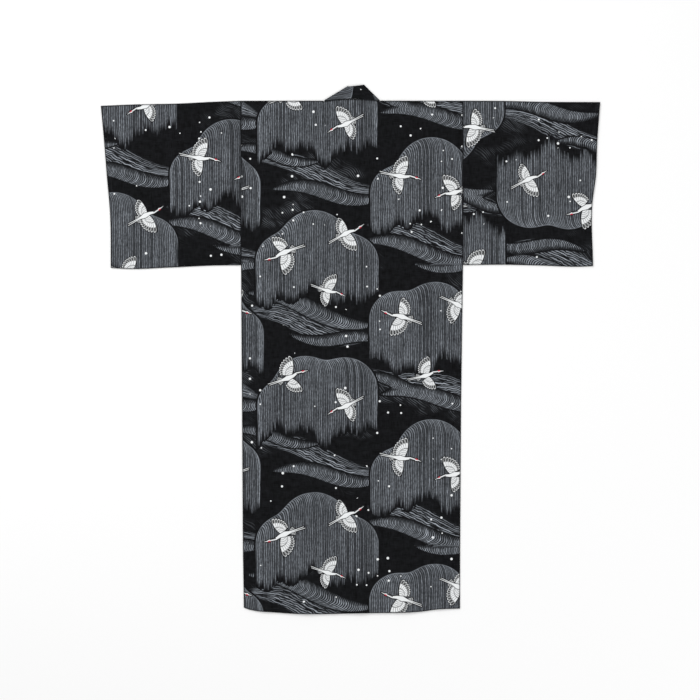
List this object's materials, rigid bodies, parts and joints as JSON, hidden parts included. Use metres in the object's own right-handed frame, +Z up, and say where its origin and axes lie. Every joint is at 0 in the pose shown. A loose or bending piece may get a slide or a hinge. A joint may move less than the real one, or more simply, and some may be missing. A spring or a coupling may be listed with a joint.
{
  "type": "cotton yukata robe laid flat",
  "caption": "Straight-sided cotton yukata robe laid flat with its back up, with square sleeves, crossed fronts with overlap panels and a folded band collar.",
  "frame": {"origin": "middle of the garment's outline, on the surface that it lies on", "axes": "+Z up, out of the garment's back; +Y from the hem to the collar; +X towards the wearer's right sleeve"},
  "size_m": [1.3814, 1.4642, 0.0059],
  "materials": {
    "printed_cotton": "matte plain-weave cotton, printed in white and grey on black"
  },
  "bodies": {
    "root": {"body": "printed_cotton", "sleeve_left": "printed_cotton", "sleeve_right": "printed_cotton", "okumi_left": "printed_cotton", "okumi_right": "printed_cotton", "collar": "printed_cotton"}
  },
  "joints": []
}
